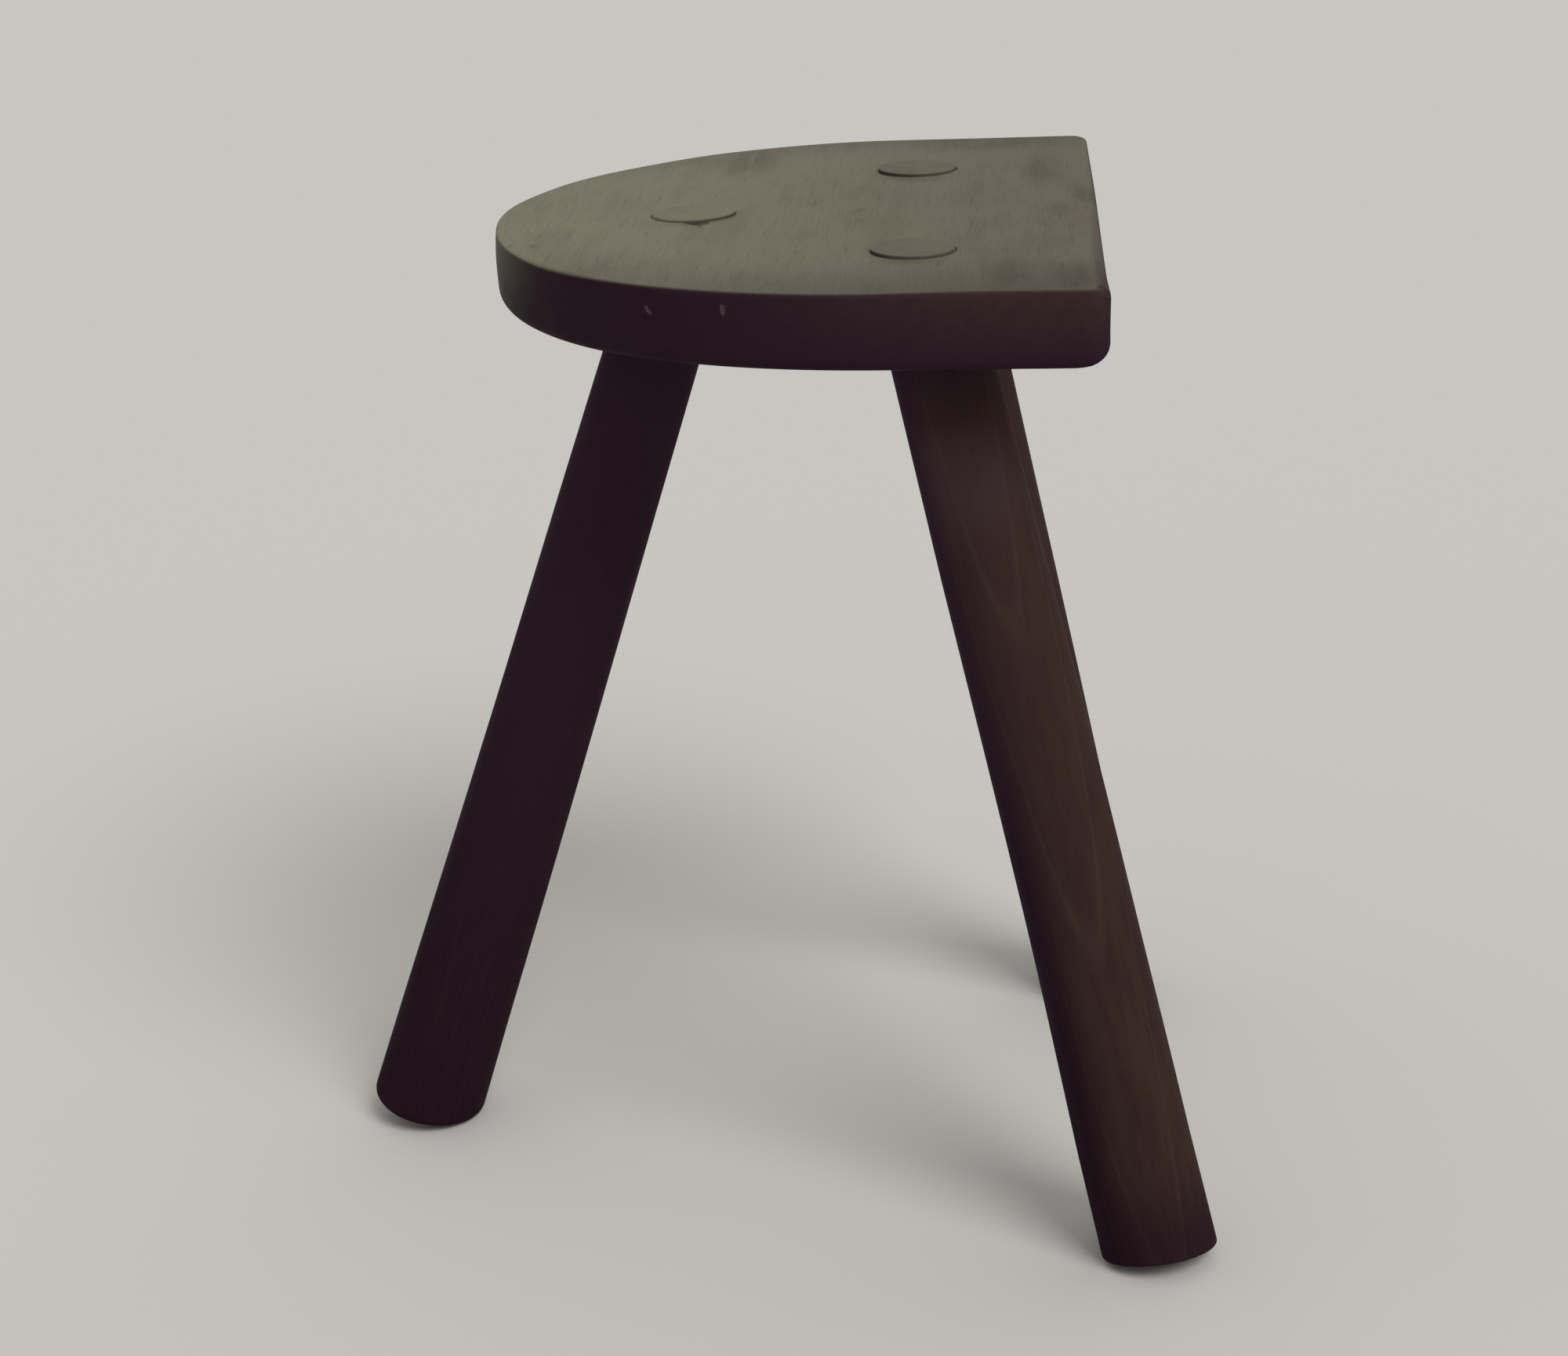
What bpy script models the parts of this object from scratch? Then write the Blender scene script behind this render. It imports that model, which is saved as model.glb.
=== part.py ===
"""A three-legged milking stool: a D-shaped seat board on three splayed legs.

Each leg is one tapered stick. Its upper end is a tapered tenon that goes through a mortise in the seat
and stands a little proud on top. Its foot is cut square to the leg, and the low side of the foot is worn
level with the floor. Metres, +Z up, +X towards the seat's flat end, the floor at Z = 0.
"""
import math

import bmesh
import bpy
from mathutils import Vector

# The seat board
SEAT_HEIGHT = 0.406
SEAT_LENGTH = 0.239
SEAT_WIDTH = 0.300
SEAT_THICKNESS = 0.0283
STRAIGHT_SIDE_LENGTH = 0.080
NOSE_FULLNESS = 2.05
CORNER_RADIUS = 0.007
SIDE_TOP_EDGE_RADIUS = 0.002
SIDE_BOTTOM_EDGE_RADIUS = 0.005
END_TOP_EDGE_RADIUS = 0.005
END_BOTTOM_EDGE_RADIUS = 0.007

# Where the middle of each tenon comes out of the seat's top, measured in from the board's edges
NOSE_LEG_FROM_NOSE = 0.0785
NOSE_LEG_OFF_CENTRE = -0.0025
FRONT_LEG_FROM_END = 0.0695
FRONT_LEG_FROM_SIDE = 0.0705
BACK_LEG_FROM_END = 0.0725
BACK_LEG_FROM_SIDE = 0.0715

# How far each leg leans from upright, and the compass heading of its foot, counted from +X towards +Y
NOSE_LEG_LEAN = math.radians(19.6)
NOSE_LEG_HEADING = math.radians(178.8)
FRONT_LEG_LEAN = math.radians(13.7)
FRONT_LEG_HEADING = math.radians(-24.7)
BACK_LEG_LEAN = math.radians(11.9)
BACK_LEG_HEADING = math.radians(28.1)

# The legs' thickness, under the seat and at the floor
NOSE_LEG_TOP_DIAMETER = 0.0371
NOSE_LEG_FOOT_DIAMETER = 0.049
END_LEG_TOP_DIAMETER = 0.039
END_LEG_FOOT_DIAMETER = 0.0457

# The joints and the feet
TENON_DIAMETER = 0.0342
TENON_PROUD = 0.0014
MORTISE_CLEARANCE = 0.0003
NOSE_FOOT_RIM_RADIUS = 0.0045
NOSE_FOOT_WEAR = 0.0024
END_FOOT_RIM_RADIUS = 0.0025
END_FOOT_WEAR = 0.0008

# How finely round shapes are divided
LEG_SIDES = 48
NOSE_STEPS = 44
ARC_STEPS = 4
SHARP_ANGLE = math.radians(35.0)

# Finish
SEAT_COLOUR = (0.060, 0.045, 0.033, 1.0)
LEG_COLOUR = (0.034, 0.021, 0.017, 1.0)
WOOD_ROUGHNESS = 0.55


def wood_material(name, colour):
    """Stained wood with a dull wax sheen."""
    material = bpy.data.materials.new(name)
    material.use_nodes = True
    shader = material.node_tree.nodes["Principled BSDF"]
    shader.inputs["Base Color"].default_value = colour
    shader.inputs["Roughness"].default_value = WOOD_ROUGHNESS
    shader.inputs["Metallic"].default_value = 0.0
    return material


def new_object(name, mesh_builder, parent):
    """Turns a bmesh into a named object under the stool's empty."""
    mesh = bpy.data.meshes.new(name)
    mesh_builder.to_mesh(mesh)
    mesh_builder.free()
    mesh.shade_smooth()
    mesh.set_sharp_from_angle(angle=SHARP_ANGLE)
    item = bpy.data.objects.new(name, mesh)
    bpy.context.scene.collection.objects.link(item)
    item.parent = parent
    return item


def loft(builder, rings):
    """Skins a stack of rings that have equal counts, from the lowest up, and caps both ends."""
    loops = [[builder.verts.new(point) for point in ring] for ring in rings]
    count = len(loops[0])
    for lower, upper in zip(loops, loops[1:]):
        for i in range(count):
            j = (i + 1) % count
            builder.faces.new((lower[i], lower[j], upper[j], upper[i]))
    builder.faces.new(reversed(loops[0]))
    builder.faces.new(loops[-1])


def round_over(radius, depth):
    """How far a rounded edge draws in at a depth below the face that it rounds over to."""
    if depth >= radius:
        return 0.0
    return radius - math.sqrt(radius ** 2 - (radius - depth) ** 2)


def seat_outline(side_inset, end_inset):
    """The D, drawn in from the board's edges, anticlockwise from the front corner of the flat end.

    Its middle is at the origin: straight sides, a nose a little fuller than a half-ellipse, and two small
    round corners.
    """
    end_x = SEAT_LENGTH / 2 - end_inset
    half_width = SEAT_WIDTH / 2 - side_inset
    spring_x = SEAT_LENGTH / 2 - STRAIGHT_SIDE_LENGTH
    nose_reach = SEAT_LENGTH - STRAIGHT_SIDE_LENGTH - side_inset
    corner = max(CORNER_RADIUS - max(side_inset, end_inset), CORNER_RADIUS / 10)
    points = []
    for side, start in ((-1, -math.pi / 2), (1, 0.0)):
        for step in range(ARC_STEPS + 1):
            angle = start + math.pi / 2 * step / ARC_STEPS
            points.append((end_x - corner + corner * math.cos(angle),
                           side * (half_width - corner) + corner * math.sin(angle)))
    for step in range(NOSE_STEPS + 1):
        angle = math.pi * step / NOSE_STEPS
        forward = math.sin(angle) ** (2 / NOSE_FULLNESS)
        sideways = math.copysign(abs(math.cos(angle)) ** (2 / NOSE_FULLNESS), math.cos(angle))
        points.append((spring_x - nose_reach * forward, half_width * sideways))
    return points


def edge_ring(z, depth, side_radius, end_radius):
    """The outline at one level of a rounded edge, a depth below the face."""
    side_inset = round_over(side_radius, depth)
    end_inset = round_over(end_radius, depth)
    return [(x, y, z) for x, y in seat_outline(side_inset, end_inset)]


def build_seat(parent):
    """The board, with its underside at local Z = 0 and its edges rounded."""
    turns = [math.pi / 2 * step / ARC_STEPS for step in range(ARC_STEPS + 1)]
    deepest_bottom = max(SIDE_BOTTOM_EDGE_RADIUS, END_BOTTOM_EDGE_RADIUS)
    deepest_top = max(SIDE_TOP_EDGE_RADIUS, END_TOP_EDGE_RADIUS)
    rings = []
    for turn in turns:
        depth = deepest_bottom * (1 - math.cos(turn))
        rings.append(edge_ring(depth, depth, SIDE_BOTTOM_EDGE_RADIUS, END_BOTTOM_EDGE_RADIUS))
    for turn in reversed(turns):
        depth = deepest_top * (1 - math.cos(turn))
        rings.append(edge_ring(SEAT_THICKNESS - depth, depth, SIDE_TOP_EDGE_RADIUS, END_TOP_EDGE_RADIUS))
    builder = bmesh.new()
    loft(builder, rings)
    seat = new_object("seat", builder, parent)
    seat.location.z = SEAT_HEIGHT - SEAT_THICKNESS
    seat.data.materials.append(wood_material("seat_wood", SEAT_COLOUR))
    return seat


class Leg:
    """One leg's axis and radii. Local Z runs up the axis from where it meets the floor."""

    def __init__(self, tenon, lean, heading, top_diameter, foot_diameter, rim_radius, wear):
        self.lean = lean
        self.rim_radius = rim_radius
        self.wear = wear
        run = SEAT_HEIGHT * math.tan(lean)
        self.foot = Vector((tenon[0] + run * math.cos(heading), tenon[1] + run * math.sin(heading), 0.0))
        self.axis = (Vector((tenon[0], tenon[1], SEAT_HEIGHT)) - self.foot).normalized()
        self.turn = self.axis.to_track_quat("Z", "Y")
        self.top_radius = top_diameter / 2
        self.foot_radius = foot_diameter / 2

    def along(self, height):
        """Distance up the axis to a height above the floor."""
        return height / math.cos(self.lean)

    def profile(self, grow=0.0):
        """Radius against distance up the axis: foot, straight taper, tenon, all grown by a clearance."""
        tenon_radius = TENON_DIAMETER / 2
        shoulder = self.along(SEAT_HEIGHT - SEAT_THICKNESS)
        seat_top = self.along(SEAT_HEIGHT)
        end = self.along(self.foot_radius * math.sin(self.lean) - self.wear)
        tenon_slope = (tenon_radius - self.top_radius) / (seat_top - shoulder)
        clear_of_seat = seat_top + self.along(TENON_PROUD) + self.foot_radius
        points = []
        for step in range(ARC_STEPS + 1):
            angle = math.pi / 2 * step / ARC_STEPS
            points.append((end + self.rim_radius * (1 - math.cos(angle)),
                           self.foot_radius - self.rim_radius * (1 - math.sin(angle)) + grow))
        points.append((shoulder, self.top_radius + grow))
        points.append((clear_of_seat, tenon_radius + tenon_slope * (clear_of_seat - seat_top) + grow))
        return points

    def solid(self, grow=0.0):
        """The profile turned round the axis."""
        builder = bmesh.new()
        rings = []
        for distance, radius in self.profile(grow):
            turns = [2 * math.pi * i / LEG_SIDES for i in range(LEG_SIDES)]
            rings.append([(radius * math.cos(t), radius * math.sin(t), distance) for t in turns])
        loft(builder, rings)
        return builder

    def trim_level(self, builder, height, keep_below):
        """Cuts the solid level at a height above the floor and closes the cut with a flat face."""
        level = self.turn.inverted() @ Vector((0.0, 0.0, 1.0))
        cut = bmesh.ops.bisect_plane(builder, geom=builder.verts[:] + builder.edges[:] + builder.faces[:],
                                     plane_co=Vector((0.0, 0.0, self.along(height))), plane_no=level,
                                     clear_outer=keep_below, clear_inner=not keep_below)
        rim = [item for item in cut["geom_cut"] if isinstance(item, bmesh.types.BMEdge)]
        bmesh.ops.holes_fill(builder, edges=rim, sides=0)

    def place(self, item):
        item.location = self.foot
        item.rotation_mode = "QUATERNION"
        item.rotation_quaternion = self.turn


def build_leg(name, leg, seat, parent):
    """The leg itself, and the hidden cutter that bores its mortise in the seat."""
    builder = leg.solid()
    leg.trim_level(builder, 0.0, keep_below=False)
    leg.trim_level(builder, SEAT_HEIGHT + TENON_PROUD, keep_below=True)
    item = new_object(name, builder, parent)
    leg.place(item)
    item.data.materials.append(wood_material(name + "_wood", LEG_COLOUR))

    cutter = new_object(name + "_mortise_cutter", leg.solid(grow=MORTISE_CLEARANCE), parent)
    leg.place(cutter)
    cutter.hide_render = True
    cutter.display_type = "WIRE"
    bore = seat.modifiers.new(name + "_mortise", "BOOLEAN")
    bore.operation = "DIFFERENCE"
    bore.solver = "EXACT"
    bore.object = cutter
    return item


for old in list(bpy.data.objects):
    bpy.data.objects.remove(old, do_unlink=True)

stool = bpy.data.objects.new("stool", None)
bpy.context.scene.collection.objects.link(stool)

seat_end_x = SEAT_LENGTH / 2
seat_side_y = SEAT_WIDTH / 2
legs = {
    "nose_leg": Leg((-seat_end_x + NOSE_LEG_FROM_NOSE, NOSE_LEG_OFF_CENTRE),
                    NOSE_LEG_LEAN, NOSE_LEG_HEADING, NOSE_LEG_TOP_DIAMETER, NOSE_LEG_FOOT_DIAMETER,
                    NOSE_FOOT_RIM_RADIUS, NOSE_FOOT_WEAR),
    "front_leg": Leg((seat_end_x - FRONT_LEG_FROM_END, -seat_side_y + FRONT_LEG_FROM_SIDE),
                     FRONT_LEG_LEAN, FRONT_LEG_HEADING, END_LEG_TOP_DIAMETER, END_LEG_FOOT_DIAMETER,
                     END_FOOT_RIM_RADIUS, END_FOOT_WEAR),
    "back_leg": Leg((seat_end_x - BACK_LEG_FROM_END, seat_side_y - BACK_LEG_FROM_SIDE),
                    BACK_LEG_LEAN, BACK_LEG_HEADING, END_LEG_TOP_DIAMETER, END_LEG_FOOT_DIAMETER,
                    END_FOOT_RIM_RADIUS, END_FOOT_WEAR),
}

seat_board = build_seat(stool)
pieces = [seat_board]
for leg_name, leg in legs.items():
    pieces.append(build_leg(leg_name, leg, seat_board, stool))

# The frame's origin is on the floor under the middle of the whole stool's box
bpy.context.view_layer.update()
corners = [piece.matrix_world @ vertex.co for piece in pieces for vertex in piece.data.vertices]
for axis in (0, 1):
    reach = [corner[axis] for corner in corners]
    stool.location[axis] = -(min(reach) + max(reach)) / 2
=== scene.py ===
"""The looks of a three-legged milking stool: a dark stained D-shaped seat on three splayed, tapered legs."""
import math
from collections import namedtuple

import bmesh
import bpy
from mathutils import Matrix, Vector, noise


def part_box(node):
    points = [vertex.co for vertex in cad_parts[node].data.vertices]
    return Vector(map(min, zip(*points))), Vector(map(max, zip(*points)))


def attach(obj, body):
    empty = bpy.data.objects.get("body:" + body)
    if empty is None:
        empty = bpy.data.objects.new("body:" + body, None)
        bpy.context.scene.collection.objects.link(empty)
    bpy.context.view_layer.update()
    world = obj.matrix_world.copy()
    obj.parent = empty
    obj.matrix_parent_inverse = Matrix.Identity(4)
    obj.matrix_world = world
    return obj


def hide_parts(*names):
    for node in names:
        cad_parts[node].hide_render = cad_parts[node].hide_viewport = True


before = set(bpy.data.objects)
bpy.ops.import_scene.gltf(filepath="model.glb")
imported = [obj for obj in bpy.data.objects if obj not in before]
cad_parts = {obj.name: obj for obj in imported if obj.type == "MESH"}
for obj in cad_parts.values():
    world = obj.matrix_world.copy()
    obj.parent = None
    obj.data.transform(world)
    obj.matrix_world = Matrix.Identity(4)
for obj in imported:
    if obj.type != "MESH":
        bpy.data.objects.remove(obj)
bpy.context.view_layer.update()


# The seat board
# One piece of hardwood, sawn to a D with its grain running from side to side, planed and stained dark.
# Use has rubbed its edges round, most of all along the flat end, and dulled the wax on top in patches.
# Three slanting round mortises go right through it. It is a little thicker at its flat end.
board_low, board_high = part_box("seat")
board_half_width = (board_high.y - board_low.y) / 2
board_straight_side = 0.080
board_corner_radius = 0.008
back_nose_fullness = 2.10
front_nose_fullness = 2.03
edge_steps = 480
top_rings = 64
under_rings = 24
side_rings = 12
round_steps = 9
side_top_radius = 0.0020
back_top_radius = 0.0010
side_under_radius = 0.0042
nose_top_radius = 0.0015
nose_under_radius = 0.0064
nose_bulge = 0.0007
end_top_radius_at_front = 0.0060
end_top_radius_at_back = 0.0022
end_under_wear_reach = 0.015
end_under_wear_height = 0.0077
end_lean_in = 0.0003
# How much darker the flat end's top rounding is at the front: duller wax and painted shade
end_dulling_and_shade_at_front = 0.32
edge_rub = 0.0006
end_extra_thickness = 0.0010
planing_wave = 0.00016
planing_wave_length = 0.055


def smooth_step(value, start, stop):
    """0 before start and 1 after stop, with a soft rise between them."""
    share = min(max((value - start) / (stop - start), 0.0), 1.0)
    return share * share * (3 - 2 * share)


def half_board_edge(side, fullness):
    """The board's edge from the middle of its flat end to the tip of its nose, on one side."""
    spring_x = board_high.x - board_straight_side
    nose_reach = spring_x - board_low.x
    corner_x = board_high.x - board_corner_radius
    corner_y = board_half_width - board_corner_radius
    steps = 240
    shares = [i / steps for i in range(steps)]
    points = [Vector((board_high.x, side * corner_y * share)) for share in shares]
    for share in shares:
        turn = share * math.pi / 2
        points.append(Vector((corner_x + board_corner_radius * math.cos(turn),
                              side * (corner_y + board_corner_radius * math.sin(turn)))))
    points += [Vector((corner_x + (spring_x - corner_x) * share, side * board_half_width)) for share in shares]
    for share in shares + [1.0]:
        turn = share * math.pi / 2
        points.append(Vector((spring_x - nose_reach * math.sin(turn) ** (2 / fullness),
                              side * board_half_width * max(math.cos(turn), 0.0) ** (2 / fullness))))
    return points


def even_spacing(points, count):
    """The same closed line as a number of points that are equally far apart."""
    lengths = [(points[i] - points[i - 1]).length for i in range(len(points))]
    whole = sum(lengths)
    spaced = []
    i = 0
    passed = 0.0
    for step in range(count):
        wanted = whole * step / count
        while passed + lengths[(i + 1) % len(points)] < wanted:
            i += 1
            passed += lengths[i % len(points)]
        span = lengths[(i + 1) % len(points)]
        share = (wanted - passed) / span if span else 0.0
        spaced.append(points[i % len(points)].lerp(points[(i + 1) % len(points)], share))
    return spaced


def planed_height(x, y):
    """How far the planed top dips below flat at one place."""
    place = Vector((x, y * 0.5, 0.0)) / planing_wave_length
    return -planing_wave * (1 + noise.noise(place))


def worn_under_end(x):
    """How far the underside is worn up near the flat end: a long, low rounding."""
    share = min(max(1 - (board_high.x - x) / end_under_wear_reach, 0.0), 1.0)
    return end_under_wear_height * (1 - math.sqrt(1 - share * share))


back_half = half_board_edge(1, back_nose_fullness)
front_half = half_board_edge(-1, front_nose_fullness)
board_edge = even_spacing(back_half + front_half[-2:0:-1], edge_steps)
saw_wanders = ((-0.055, 0.105, 0.030, -0.0019), (0.030, 0.148, 0.028, 0.0014), (-0.0955, 0.018, 0.030, 0.0014),
               (0.142, 0.140, 0.070, -0.0005), (0.142, -0.142, 0.020, 0.0005))


def saw_wander(place):
    """How far the hand-held saw strayed outside the drawn line at one place on the edge."""
    stray = 0.0
    for x, y, reach, amount in saw_wanders:
        away = (place - Vector((x, y))).length
        stray += amount * smooth_step(reach * 1.6 - away, 0.0, reach * 1.6)
    return stray


EdgePoint = namedtuple("EdgePoint", "place outward top_radius under_radius side_start thicker bulge lean_in at_nose "
                                    "worn_over end_dulling")
edge_points = []
for i, place in enumerate(board_edge):
    along = (board_edge[(i + 1) % edge_steps] - board_edge[i - 1]).normalized()
    outward = Vector((along.y, -along.x))
    at_end = smooth_step(outward.x, 0.25, 0.9)
    at_nose = smooth_step(-outward.x, 0.72, 1.0)
    at_back = smooth_step(outward.y, 0.2, 0.9)
    towards_back = smooth_step(place.y, -board_half_width, board_half_width)
    front_end = smooth_step(-outward.y, 0.2, 0.9) * smooth_step(place.x, 0.08, 0.135)
    rub = edge_rub * noise.noise(Vector((place.x, place.y, 3.0)) * 18)
    side_top = side_top_radius + (back_top_radius - side_top_radius) * at_back
    end_top = end_top_radius_at_front + (end_top_radius_at_back - end_top_radius_at_front) * towards_back
    top_radius = side_top + (end_top - side_top) * at_end + (nose_top_radius - side_top) * at_nose + rub
    under_radius = side_under_radius + (nose_under_radius - side_under_radius) * at_nose + rub
    lean_in = end_lean_in * smooth_step(outward.x, 0.0, 0.8) * (1 - towards_back)
    edge_points.append(EdgePoint(
        place=place + outward * saw_wander(place), outward=outward, top_radius=max(top_radius, 0.0005),
        under_radius=under_radius, side_start=max(under_radius, worn_under_end(place.x - lean_in * outward.x)),
        thicker=end_extra_thickness * smooth_step(place.x, 0.02, board_high.x), bulge=nose_bulge * at_nose,
        lean_in=lean_in, at_nose=at_nose,
        worn_over=max(smooth_step(-outward.x, 0.35, 0.9), (1.0 - 0.3 * towards_back) * at_end, 0.5 * at_back,
                      0.6 * front_end),
        end_dulling=end_dulling_and_shade_at_front * at_end * (1 - towards_back)))

# Where the wax on top has gone, as spots: x, y, half their width, half their length along the grain, and how far
wax_losses = (
    (-0.006, 0.107, 0.013, 0.030, 0.55), (0.121, 0.075, 0.008, 0.034, 0.55), (0.128, -0.010, 0.008, 0.014, 0.40),
    (0.138, 0.015, 0.004, 0.018, 0.45), (0.046, -0.004, 0.003, 0.005, 0.55), (0.027, -0.045, 0.006, 0.010, 0.30),
    (0.107, -0.120, 0.008, 0.024, 0.40), (0.130, -0.128, 0.008, 0.020, 0.50), (-0.076, -0.055, 0.004, 0.005, 0.55),
    (0.102, 0.131, 0.020, 0.011, 0.35), (0.060, 0.020, 0.012, 0.030, 0.20), (-0.050, 0.020, 0.020, 0.018, 0.12),
    (0.071, -0.099, 0.013, 0.004, 0.35), (0.068, 0.059, 0.013, 0.004, 0.35), (-0.019, -0.022, 0.013, 0.004, 0.25),
)
wax_loss_ragged = 0.006


def wax_lost(x, y):
    """How far the wax has gone at one place on the top: 0 where it is whole, towards 1 in the worn patches."""
    stray = noise.noise_vector(Vector((x, y * 0.6, 0.0)) * 70) * wax_loss_ragged
    lost = 0.0
    for spot_x, spot_y, half_width, half_length, strength in wax_losses:
        away = math.hypot((x + stray.x - spot_x) / half_width, (y + stray.y - spot_y) / half_length)
        lost = max(lost, strength * smooth_step(1.6 - away, 0.0, 1.4))
    return lost


def top_tone_and_sheen(x):
    """How pale the top is, from wear and painted sheen: most at the nose, less towards the flat end."""
    return 1.0 - 0.36 * smooth_step(x, -0.11, 0.16)


nose_painted_sheen = 0.41
front_border_loss = 0.26
front_border_width = 0.066
back_border_loss = 0.15
back_border_width = 0.036
side_rub_and_light = 0.68


def half_width_at(x, fullness):
    """Half the board's width at one place along it, on the side with that fullness."""
    spring_x = board_high.x - board_straight_side
    into_nose = min(max((spring_x - x) / (spring_x - board_low.x), 0.0), 1.0)
    return board_half_width * (1 - into_nose ** fullness) ** (1 / fullness)


def border_loss(x, y):
    """How much less of the pale top colour, wear and painted sheen, lies towards its two long edges than in its middle.
    """
    from_front = half_width_at(x, front_nose_fullness) + y
    from_back = half_width_at(x, back_nose_fullness) - y
    loss = (front_border_loss * smooth_step(front_border_width - from_front, 0.0, front_border_width)
            + back_border_loss * smooth_step(back_border_width - from_back, 0.0, back_border_width))
    return loss * smooth_step(x, -0.092, -0.045)


def side_finish(edge, share):
    """Painted sheen on the nose, and rubbed stain that is partly painted light, on the board's side, from its lower
    rounding at 0 to its upper one at 1.
    """
    # The nose's side takes the pale top colour as a painted sheen, more towards the top
    sheen_share = nose_painted_sheen * edge.at_nose ** 2 * (0.4 + 0.6 * share)
    # The brown on the front side is partly rubbed stain and partly painted light: more towards the flat end and the
    # front, towards the lamp, and less towards the lower rounding, as painted shade
    at_front = 0.25 + 0.75 * smooth_step(-edge.outward.y, 0.3, 0.95)
    rubbed = side_rub_and_light * smooth_step(edge.place.x, -0.03, 0.15) * at_front * (0.10 + 0.90 * share)
    return sheen_share, rubbed


seat_builder = bmesh.new()
wear_layers = [seat_builder.loops.layers.float.new(wear_name) for wear_name in ("sat_on_and_sheen", "rubbed", "wax_lost")]
wear_at = {}
middle = Vector(((board_low.x + board_high.x) / 2, 0.0))


def add_vertex(place, sat_on_and_sheen, rubbed):
    vertex = seat_builder.verts.new(place)
    wear_at[vertex] = (sat_on_and_sheen, rubbed, wax_lost(place[0], place[1]))
    return vertex


def underside_row(share):
    row = []
    for edge in edge_points:
        spot = middle.lerp(edge.place - edge.outward * (edge.under_radius + edge.lean_in), share)
        drop = end_extra_thickness * smooth_step(spot.x, 0.02, board_high.x)
        row.append(add_vertex((spot.x, spot.y, board_low.z - drop + worn_under_end(spot.x)), 0.0, 0.0))
    return row


def under_rounding_row(share):
    turn = math.pi / 2 * share
    row = []
    for edge in edge_points:
        inset = edge.under_radius * (1 - math.sin(turn)) + edge.lean_in
        spot = edge.place + edge.outward * (edge.bulge * math.sin(turn) * 0.6 - inset)
        rise = max(edge.under_radius * (1 - math.cos(turn)), worn_under_end(spot.x))
        height = board_low.z - edge.thicker + rise
        sheen_share, rubbed = side_finish(edge, 0.0)
        row.append(add_vertex((spot.x, spot.y, height), sheen_share * share, rubbed * share))
    return row


def side_row(share):
    row = []
    for edge in edge_points:
        low = board_low.z - edge.thicker + edge.side_start
        high = board_high.z - edge.top_radius
        ripple = 0.00012 * noise.noise(Vector((edge.place.x * 30, edge.place.y * 30, share * 1.5)))
        swell = edge.bulge * (0.6 + 1.6 * share) * (1 - share) * (1 + share)
        inset = (0.00012 + ripple) * math.sin(math.pi * share) + edge.lean_in * (1 - share) ** 1.5
        spot = edge.place + edge.outward * (swell - inset)
        row.append(add_vertex((spot.x, spot.y, low + (high - low) * share), *side_finish(edge, share)))
    return row


def top_rounding_row(share):
    turn = math.pi / 2 * share
    row = []
    for edge in edge_points:
        spot = edge.place - edge.outward * edge.top_radius * (1 - math.cos(turn))
        dip = planed_height(spot.x, spot.y) * math.sin(turn)
        height = board_high.z - edge.top_radius * (1 - math.sin(turn)) + dip
        sheen_share, rubbed = side_finish(edge, 1.0)
        # Over the rounding the pale top colour, wear and painted sheen, fades out as the edge turns down
        lit = smooth_step(share, 0.45 * (1 - edge.worn_over), 1.1 - 0.5 * edge.worn_over)
        # The flat end's top rounding is darker: partly duller wax, partly painted shade where it faces the lamp
        dulled = edge.end_dulling * smooth_step(1 - share, 0.0, 0.35)
        sat_on_and_sheen = max(sheen_share, (top_tone_and_sheen(spot.x) - border_loss(spot.x, spot.y) - dulled) * lit)
        row.append(add_vertex((spot.x, spot.y, height), sat_on_and_sheen, rubbed))
    return row


def top_row(share):
    row = []
    for edge in edge_points:
        spot = middle.lerp(edge.place - edge.outward * edge.top_radius, share)
        height = board_high.z + planed_height(spot.x, spot.y)
        # The pale top colour: partly wear, partly painted sheen of the pale surround in the wax
        sat_on_and_sheen = top_tone_and_sheen(spot.x) - border_loss(spot.x, spot.y)
        row.append(add_vertex((spot.x, spot.y, height), sat_on_and_sheen, 0.0))
    return row


rows = [underside_row(math.sin(math.pi / 2 * ring / under_rings)) for ring in range(1, under_rings + 1)]
rows += [under_rounding_row(step / round_steps) for step in range(1, round_steps + 1)]
rows += [side_row(ring / side_rings) for ring in range(1, side_rings + 1)]
rows += [top_rounding_row(step / round_steps) for step in range(1, round_steps + 1)]
rows += [top_row(ring / top_rings) for ring in range(top_rings - 1, 0, -1)]
for lower, upper in zip(rows, rows[1:]):
    for i in range(edge_steps):
        j = (i + 1) % edge_steps
        seat_builder.faces.new((lower[i], lower[j], upper[j], upper[i]))
under_middle = add_vertex((middle.x, middle.y, board_low.z), 0.0, 0.0)
top_middle = add_vertex((middle.x, middle.y, board_high.z + planed_height(middle.x, middle.y)), top_tone_and_sheen(middle.x), 0.0)
for i in range(edge_steps):
    j = (i + 1) % edge_steps
    seat_builder.faces.new((rows[0][j], rows[0][i], under_middle))
    seat_builder.faces.new((rows[-1][i], rows[-1][j], top_middle))

# The wear and the painted light are kept at each face's own corners, so that they end sharply where a cut begins
for face in seat_builder.faces:
    for corner in face.loops:
        for layer, amount in zip(wear_layers, wear_at[corner.vert]):
            corner[layer] = amount
seat_mesh = bpy.data.meshes.new("seat_board")
seat_builder.to_mesh(seat_mesh)
seat_builder.free()
seat_mesh.attributes.new("bare_and_painted_light", "FLOAT", "FACE")
seat_board = bpy.data.objects.new("seat_board", seat_mesh)
bpy.context.scene.collection.objects.link(seat_board)


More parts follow.
